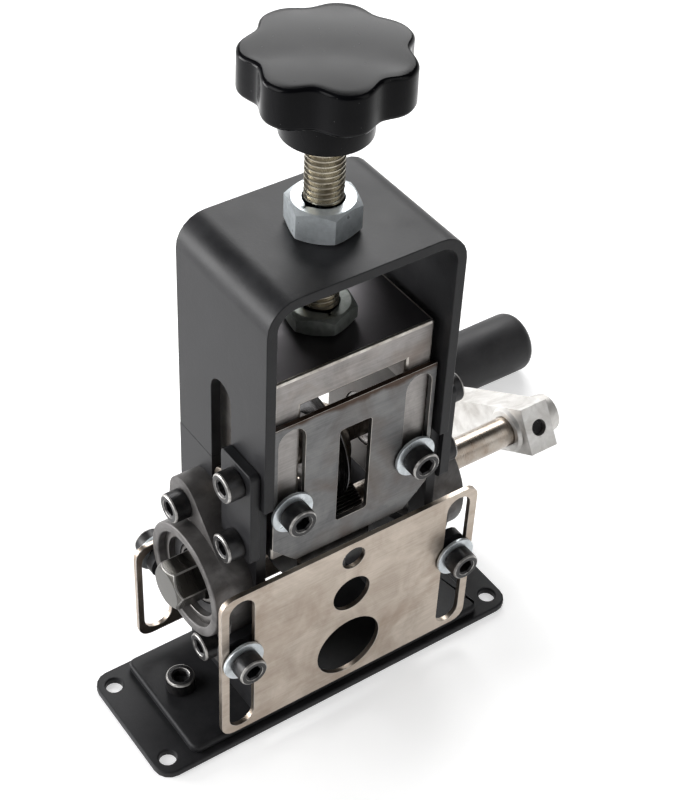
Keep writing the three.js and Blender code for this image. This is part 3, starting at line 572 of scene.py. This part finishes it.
def ballBearing(side):
    size = {"seat": 29.3, "radius": 17.0, "ear": 7.5, "flange": 7.2, "depth": 12.1, "recess": 14.0, "bore": 10.2,
            "hole": 2.65, "rimEase": 0.5, "footEase": 0.6, "raceEase": 0.25, "ringEase": 0.15,
            "race": (11.7, 13.9, 6.9, 10.0),
            "seal": [(8.9, 7.3), (11.8, 7.3), (11.8, 8.0), (10.3, 7.7), (8.9, 7.9)],
            "inner": [(4.6, 0.5), (8.8, 0.5), (8.8, 7.6), (8.4, 8.0), (7.5, 8.0), (7.4, 5.5), (4.6, 5.5)]}
    outward = outwardOf(side)
    centre = Vector((outward.x * size["seat"], 0, shaftHeight))
    facing = Matrix.Translation(centre) @ outward.to_track_quat("Z", "Y").to_matrix().to_4x4()
    ears = [facing.inverted() @ middle("bearing_%s_screw_%s" % (word, side)) for word in ("upper", "lower")]
    flange = bmesh.new()
    for height in (0, size["flange"]):
        for x, y, radius in [(0, 0, size["radius"])] + [(ear.x, ear.y, size["ear"]) for ear in ears]:
            made = bmesh.ops.create_circle(flange, cap_ends=False, segments=largeSteps, radius=radius)
            bmesh.ops.translate(flange, verts=made["verts"], vec=(x, y, height))
    hull = bmesh.ops.convex_hull(flange, input=flange.verts)
    inside = {item for item in hull["geom_interior"] + hull["geom_unused"] if isinstance(item, bmesh.types.BMVert)}
    bmesh.ops.delete(flange, geom=list(inside), context="VERTS")
    bmesh.ops.delete(flange, geom=[edge for edge in flange.edges if not edge.link_faces], context="EDGES")
    bmesh.ops.dissolve_limit(flange, angle_limit=flatAngle, verts=flange.verts, edges=flange.edges)
    shell = combined(flange, prism(largeSteps, size["radius"], 1, size["depth"]), "UNION")
    drills = [(0, 0, size["bore"], -1, largeSteps), (0, 0, size["recess"], size["flange"], largeSteps)]
    for x, y, radius, low, count in drills + [(ear.x, ear.y, size["hole"], -1, 40) for ear in ears]:
        drill = prism(count, radius, low, size["depth"] + 8)
        bmesh.ops.translate(drill, verts=drill.verts, vec=(x, y, 0))
        shell = combined(shell, drill, "DIFFERENCE")
    bmesh.ops.dissolve_limit(shell, angle_limit=flatAngle, verts=shell.verts, edges=shell.edges)

    def at(height):
        return lambda edge: all(abs(vert.co.z - height) < 0.01 for vert in edge.verts)

    def onFoot(edge):
        return at(size["flange"])(edge) and all(vert.co.xy.length > size["radius"] - 1 for vert in edge.verts)

    eased(shell, size["rimEase"], where=at(size["depth"]))
    eased(shell, size["footEase"], where=onFoot)
    standIn("bearing_housing_" + side, aimed(shell, centre, outward), housingZinc, 40)
    race = eased(tube(*size["race"], largeSteps), size["raceEase"])
    keep("bearing_race_" + side, aimed(race, centre, outward), ringSteel, "frame")
    seal = spun(size["seal"], largeSteps, True)
    keep("bearing_seal_" + side, aimed(seal, centre, outward), sealRubber, "frame")
    inner = eased(spun(size["inner"], largeSteps, True), size["ringEase"], 2)
    standIn("bearing_inner_ring_" + side, aimed(inner, centre, outward), ringSteel)


for side in ("left", "right"):
    ballBearing(side)
print("bearings made")


def hexBar(size):
    flats, length, cone, rounding = (size[key] for key in ("hexFlats", "hexLength", "cone", "rounding"))
    reach = flats / 2
    face = reach * size["hexFace"]
    bm = bmesh.new()
    rings = [ring(bm, smallSteps, face, 0), hexRing(bm, flats, rounding, reach, -cone),
             hexRing(bm, flats, length - rounding, reach, cone), ring(bm, smallSteps, face, length)]
    return skinned(bm, rings, True)


def driveLine():
    size = {"radius": 4.5, "end": 0.6, "hexFlats": 12.4, "hexLength": 11.9, "hexTurn": 22, "hexFace": 0.93,
            "cone": 0.9, "rounding": 0.4, "worn": 0.35, "overlap": 1, "roller": 12.3, "bore": 4.6, "teeth": 80,
            "tooth": 0.75, "chamfer": (1.1, 0.7)}
    low, high = extent("drive_shaft")
    start, radius, length = Vector((low.x, 0, shaftHeight)), size["radius"], high.x - low.x
    near = size["hexLength"] - size["overlap"]
    stub = aimed(hexBar(size), start, alongShaft, size["hexTurn"])
    rod = spun([(0, near), (radius, near), (radius, length), (0, length)], smallSteps)
    aimed(eased(rod, size["end"], 3), start, alongShaft)
    made = standIn("drive_shaft", combined(stub, rod, "UNION"), shaftSteel, trim=wornOxide)
    wornEdges(made, size["worn"], 2, 45, 1)
    low, high = extent("feed_roller")
    width, count = high.x - low.x, size["teeth"] * 2
    drop, inset = size["chamfer"]
    shoulder = size["roller"] - drop
    bm = bmesh.new()
    rings = [ring(bm, count, size["bore"], 0), ring(bm, count, shoulder, 0)]
    rings += [ring(bm, count, size["roller"], height, size["tooth"]) for height in (inset, width - inset)]
    rings += [ring(bm, count, shoulder, width), ring(bm, count, size["bore"], width)]
    skinned(bm, rings + rings[:1])
    standIn("feed_roller", aimed(bm, Vector((low.x, 0, shaftHeight)), alongShaft), rollerSteel)


def bladeParts():
    size = {"radius": 16.7, "half": 1.0, "bevel": 2.6, "edge": 0.1, "sides": 128, "bore": 4.1, "axle": 4,
            "axleEase": 0.35, "flange": 9, "flangeSpan": (1.3, 6.3), "collarEase": 0.4, "bearingEase": 0.12,
            "seal": [(4.1, 0), (5.3, 0), (5.5, 0.35), (6.7, 0.35), (6.9, 0), (8, 0)]}
    start = Vector((0, 0, middle("blade_disc").z))
    radius, half, edge, bore = (size[key] for key in ("radius", "half", "edge", "bore"))
    flat = radius - size["bevel"]
    disc = spun([(bore, -half), (flat, -half), (radius, -edge), (radius, edge), (flat, half), (bore, half)],
                size["sides"], True)
    standIn("blade_disc", aimed(disc, start, alongShaft), bladeSteel, 8)
    low, high = extent("blade_axle")
    axle, flange, (near, far) = size["axle"], size["flange"], size["flangeSpan"]
    rod = spun([(0, low.x), (axle, low.x), (axle, near), (flange, near), (flange, far), (axle, far),
                (axle, high.x), (0, high.x)], smallSteps)
    standIn("blade_axle", aimed(eased(rod, size["axleEase"], 2), start, alongShaft), shaftSteel)
    low, high = extent("blade_collar")
    collar = eased(tube(bore, flange, low.x, high.x, smallSteps), size["collarEase"], 2)
    standIn("blade_collar", aimed(collar, start, alongShaft), ringSteel)
    for side in ("left", "right"):
        low, high = extent("blade_bearing_" + side)
        profile = [(radius, low.x + dip) for radius, dip in size["seal"]]
        profile += [(radius, high.x - dip) for radius, dip in reversed(size["seal"])]
        bearing = eased(spun(profile, smallSteps, True), size["bearingEase"], 2)
        standIn("blade_bearing_" + side, aimed(bearing, start, alongShaft), ringSteel)


driveLine()
bladeParts()
print("shaft, roller and blade made")


def threadedRod():
    size = {"radius": 5.0, "root": 4.15, "pitch": 1.5, "steps": 32, "flank": (0.16, 0.62, 0.9, 1.34)}
    low, high = (corner.z for corner in extent("pressure_screw"))
    pitch, steps, crest, root = (size[key] for key in ("pitch", "steps", "radius", "root"))
    turns = math.ceil((high - low) / pitch) + 3
    start = low - pitch * 1.5
    bm = bmesh.new()
    shape = zip((crest, crest, root, root, crest, crest), (0, *size["flank"], pitch))
    points = [bm.verts.new((radius, 0, start + rise)) for radius, rise in shape]
    links = [bm.edges.new(pair) for pair in zip(points, points[1:])]
    bmesh.ops.spin(bm, geom=points + links, cent=(0, 0, 0), axis=(0, 0, 1), dvec=(0, 0, pitch / steps),
                   angle=fullTurn * turns, steps=steps * turns, use_merge=False, use_duplicate=False)
    bmesh.ops.remove_doubles(bm, verts=bm.verts, dist=0.01)
    for height, way in ((low, -1), (high, 1)):
        bmesh.ops.bisect_plane(bm, geom=bm.verts[:] + bm.edges[:] + bm.faces[:], dist=weldGap,
                               plane_co=(0, 0, height), plane_no=(0, 0, way), clear_outer=True)
        bmesh.ops.holes_fill(bm, edges=[edge for edge in bm.edges if edge.is_boundary], sides=0)
    standIn("pressure_screw", bm, rodZinc, 24)


def cornerTurn(node):  # where the corners of a nut's CAD hexagon stand
    centre = middle(node)
    far = max((vert.co * 1000 - centre for vert in frame["nodes"][node].data.vertices),
              key=lambda point: math.hypot(point.x, point.y))
    return math.degrees(math.atan2(far.y, far.x)) - 30


def nutShape(height):
    size = {"flats": 17, "bore": 5.04, "lead": 0.35, "corner": 0.22, "cone": 0.5, "reach": 0.985, "face": 0.955}
    flats, bore, lead, corner, cone = (size[key] for key in ("flats", "bore", "lead", "corner", "cone"))
    reach = flats / 2 * size["reach"]
    face = reach * size["face"]
    bm = bmesh.new()
    rings = [ring(bm, smallSteps, bore, lead), ring(bm, smallSteps, bore + lead, 0), ring(bm, smallSteps, face, 0),
             hexRing(bm, flats, corner, reach, -cone), hexRing(bm, flats, height - corner, reach, cone),
             ring(bm, smallSteps, face, height), ring(bm, smallSteps, bore + lead, height),
             ring(bm, smallSteps, bore, height - lead)]
    return skinned(bm, rings + rings[:1])


def nuts():
    for node, finish in (("frame_nut", zincPlate), ("carriage_nut", darkNut), ("retaining_nut", brightEdge)):
        low, high = extent(node)
        shape = aimed(nutShape(high.z - low.z), Vector((0, 0, low.z)), (0, 0, 1), cornerTurn(node))
        standIn(node, shape, finish, 24)


def starKnob():
    size = {"lobes": 7, "radius": 21.2, "lobeDepth": 2.7, "grooves": 1.4, "turn": 148.3, "thickness": 12.4,
            "lobeSteps": 28, "fade": 1.5, "draft": [(0.05, 0.45), (0.1, 0.6)], "crown": 1.8, "roundTop": 1.0,
            "roundFoot": 1.4, "hub": 11.85, "hubRim": 0.35, "hubEase": 0.5, "bore": 5.4, "mouth": (7.2, 7.6, 1.2),
            "insert": (5.15, 7.15, 0.9, 2), "insertEase": 0.2}
    low, high = extent("star_knob")
    foot = high.z - size["thickness"]
    count = size["lobes"] * size["lobeSteps"]
    top, radius, hubRadius, bore = (size[key] for key in ("thickness", "radius", "hub", "bore"))
    lower, upper, rise = size["roundFoot"], size["roundTop"], size["crown"] / radius ** 2
    draft = size["draft"][-1][0]
    rim = upper + draft
    layers = [(lower * (1 - math.sin(angle)), lower * (1 - math.cos(angle)), 0) for angle in quarterTurn]
    layers += [(inset, top * share, 0) for inset, share in size["draft"]]
    layers += [(rim - upper * math.cos(angle), top - upper * (1 - math.sin(angle)), 1) for angle in quarterTurn]
    layers += [(rim + (radius - rim) * step / 10, top, 1) for step in range(1, 10)]
    bm = bmesh.new()
    rings = []
    for inset, height, crowned in layers:
        edges = ring(bm, count, 1, 0)
        fade = min(1, (radius - inset) / (radius - rim)) ** size["fade"]
        for vert in {vert for edge in edges for vert in edge.verts}:
            angle = math.atan2(vert.co.y, vert.co.x) - math.radians(size["turn"])
            groove = (1 - math.cos(size["lobes"] * angle)) / 2
            lobe = -size["lobeDepth"] * groove ** size["grooves"]
            reach = radius - inset + lobe * fade
            vert.co.xy = vert.co.xy.normalized() * reach
            vert.co.z = foot + height - crowned * rise * reach ** 2
        rings.append(edges)
    skinned(bm, rings, True)
    inside, lip, depth = size["mouth"]
    hub = spun([(bore, low.z + depth), (inside, low.z + depth), (lip, low.z), (hubRadius - size["hubRim"], low.z),
                (hubRadius, foot + 1), (bore, foot + 1)], largeSteps, True)
    eased(hub, size["hubEase"])
    mesh = bpy.data.meshes.new("hub")
    hub.to_mesh(mesh)
    hub.free()
    bm.from_mesh(mesh)
    standIn("star_knob", bm, knobPlastic, 40)
    inner, outer, start, end = size["insert"]
    insert = eased(tube(inner, outer, low.z + start, low.z + end, smallSteps), size["insertEase"])
    keep("knob_insert", insert, rodZinc, "pressure_screw")


threadedRod()
nuts()
starKnob()
print("pressure screw and knob made")


def crankArm(size, along):
    endFace = Vector((size["hub"], 0, shaftHeight)) - along * size["endReach"]
    drill = prism(48, size["setHole"], -size["setDepth"], 3)
    arm = combined(cadShape("crank_arm"), aimed(drill, endFace, -along), "DIFFERENCE")
    lip = eased(tube(*size["lip"]), size["lipEase"], 2)
    lipStart = Vector((extent("crank_arm")[0].x + size["lipInset"], 0, shaftHeight))
    made = standIn("crank_arm", combined(arm, aimed(lip, lipStart, alongShaft), "UNION"), armMetal, 30)
    wornEdges(made, size["edge"], 3)
    grub = bmesh.new()
    rings = [ring(grub, smallSteps, radius, height) for radius, height in size["grub"]]
    rings += [hexRing(grub, size["grubSocket"], height) for height in size["grubDepths"]]
    skinned(grub, rings, True)
    keep("crank_set_screw", aimed(grub, endFace, -along), oxideSteel, "crank")


def crankGrip(size, axis):
    low, high = extent("crank_grip")
    length, bore, widest, end = high.x - low.x, size["gripBore"], size["gripRadius"], size["gripEnd"]
    pinEnd = extent("grip_pin")[1].x - low.x + 0.2
    handle = [(0, pinEnd), (bore, pinEnd), (bore, 0)] + size["gripFoot"]
    handle += [(radius, length * share) for radius, share in size["gripSwell"]] + [(widest, length - end)]
    handle += [(widest - end + end * math.cos(angle), length - end + end * math.sin(angle))
               for angle in quarterTurn[1:]]
    handle += [(3, length - 0.12), (0, length)]
    shape = aimed(spun(handle, largeSteps), Vector((low.x, axis.y, axis.z)), alongShaft)
    standIn("crank_grip", shape, gripBlack, 50)
    low, high = extent("grip_pin")
    pin, length = size["pin"], high.x - low.x
    rivet = eased(spun([(0, 0)] + size["rivet"] + [(pin, length), (0, length)], 64), 0.3, 2)
    standIn("grip_pin", aimed(rivet, Vector((low.x, axis.y, axis.z)), alongShaft), zincPlate)


def crankParts():
    size = {"drop": 31.65, "length": 81.0, "hub": 75.55, "endReach": 9.6, "setHole": 2.5, "setDepth": 4.2,
            "edge": 0.4, "lip": (4.52, 5.0, 0, 2), "lipInset": 0.3, "lipEase": 0.06,
            "grub": [(2.42, -4.1), (2.42, -1.9), (2.1, -1.6), (1.5, -1.6)], "grubSocket": 2.4,
            "grubDepths": (-1.75, -3.4), "gripBore": 3.15, "gripRadius": 10.5, "gripEnd": 4,
            "gripFoot": [(8.2, 0), (9.0, 0.35), (9.25, 1.2)],
            "gripSwell": [(9.7, 0.2), (10.2, 0.4), (10.42, 0.6), (10.5, 0.8)],
            "pin": 3, "rivet": [(3.6, 0), (4.9, 0.5), (5.5, 1.5), (5.5, 2.5), (3, 2.5)]}
    drop = math.radians(size["drop"])
    along = Vector((0, math.cos(drop), -math.sin(drop)))
    crankArm(size, along)
    crankGrip(size, Vector((0, 0, shaftHeight)) + along * size["length"])


crankParts()
print("crank made")

# Stage, camera and light
stage = {"floor": (0.8, 0.8, 0.8), "floorMottle": (0.788, 0.788, 0.788), "floorSize": 40.0, "floorGlow": 0.54,
         "farFloor": (0.6, 2.4), "ambient": 0.03, "horizon": 0.97, "haze": (0.08, 0.34), "aim": (0, 0, 0.08)}
softBoxes = {  # power, size and place
    "back": (5.0, (0.7, 0.5), (0.53, 0.76, 0.65)),
    "over": (6.4, (0.7, 0.33), (0.53, 0.76, 1.1)),
    "side": (11.0, (0.9, 0.9), (-1.1, 0.2, 0.75)),
    "front": (2.0, (0.5, 0.9), (0.46, -0.72, 0.73)),
    "low": (12.0, (0.6, 0.5), (-0.85, 0.85, 0.25)),
}
view = {"place": (-0.2048, -0.2856, 0.4143), "forward": (0.4237, 0.6066, -0.6727), "roll": 1.87, "lens": 80.5,
        "sensor": 36, "shift": (0.0526, 0.0133), "clip": (0.01, 20)}


def seenRays(nodes):  # one where a ray comes from the camera, a reflection or glass
    kinds = ("Camera", "Glossy", "Transmission")
    seen, *others = (nodes.node("LightPath", {}, {}, "Is %s Ray" % kind) for kind in kinds)
    for ray in others:
        seen = seen.maths("MAXIMUM", seen, ray)
    return seen


def floorFinish():
    paper = Finish("stagePaper", Roughness=0.75)
    paper.feed("Base Color", paper.mixed(paper.cloud(60, 2, 0.5), stage["floor"], stage["floorMottle"]))
    across, along = paper.along("X"), paper.along("Y")
    distance = paper.between((across * across + along * along) ** 0.5, *stage["farFloor"])
    glow = paper.mixed(distance, (stage["floorGlow"],) * 3, (1, 1, 1))  # the shadow lies on the near part
    paper.feed("Emission Color", paper.mixed(seenRays(paper), (0, 0, 0), glow))
    paper.shader.inputs["Emission Strength"].default_value = 1
    return paper


def makeStage():
    bm = bmesh.new()
    bmesh.ops.create_grid(bm, x_segments=1, y_segments=1, size=stage["floorSize"] / 2 * 1000)
    floor = placed("stageFloor", bm, floorFinish())


def softBox(name, power, size, place):
    data = bpy.data.lights.new(name, "AREA")
    data.energy = power
    data.shape = "RECTANGLE"
    data.size, data.size_y = size
    lamp = bpy.data.objects.new(name, data)
    lamp.location = place
    lamp.rotation_euler = (Vector(stage["aim"]) - Vector(place)).to_track_quat("-Z", "Y").to_euler()
    bpy.context.scene.collection.objects.link(lamp)


def makeWorld():  # white near the horizon to the eye and in reflections, dim overhead
    world = bpy.data.worlds.new("studio")
    bpy.context.scene.world = world
    world.use_nodes = True
    sky = NodeTree(world.node_tree)
    height = sky.node("SeparateXYZ", {}, {0: sky.node("TexCoord", {}, {}, "Generated")}, "Z")
    start, end = stage["haze"]
    fade = sky.node("MapRange", {"interpolation_type": "SMOOTHSTEP"},
                    {0: height, 1: start, 2: end, 3: stage["horizon"], 4: 0.0})
    strength = seenRays(sky) * fade + stage["ambient"]
    light = sky.tree.nodes["Background"]
    light.inputs["Color"].default_value = (1, 1, 1, 1)
    sky.tree.links.new(strength.socket, light.inputs["Strength"])


def makeCamera():
    data = bpy.data.cameras.new("photoCamera")
    data.lens, data.sensor_width = view["lens"], view["sensor"]
    data.shift_x, data.shift_y = view["shift"]
    data.clip_start, data.clip_end = view["clip"]
    camera = bpy.data.objects.new("photoCamera", data)
    facing = Vector(view["forward"]).to_track_quat("-Z", "Y").to_matrix()
    turn = facing @ Matrix.Rotation(math.radians(view["roll"]), 3, "Z")
    camera.matrix_world = Matrix.Translation(view["place"]) @ turn.to_4x4()
    bpy.context.scene.collection.objects.link(camera)
    bpy.context.scene.camera = camera


makeStage()
makeWorld()
for name, values in softBoxes.items():
    softBox(name + "SoftBox", *values)
makeCamera()
bpy.context.scene.view_settings.view_transform = "Standard"
print("stage set")

bpy.context.view_layer.update()
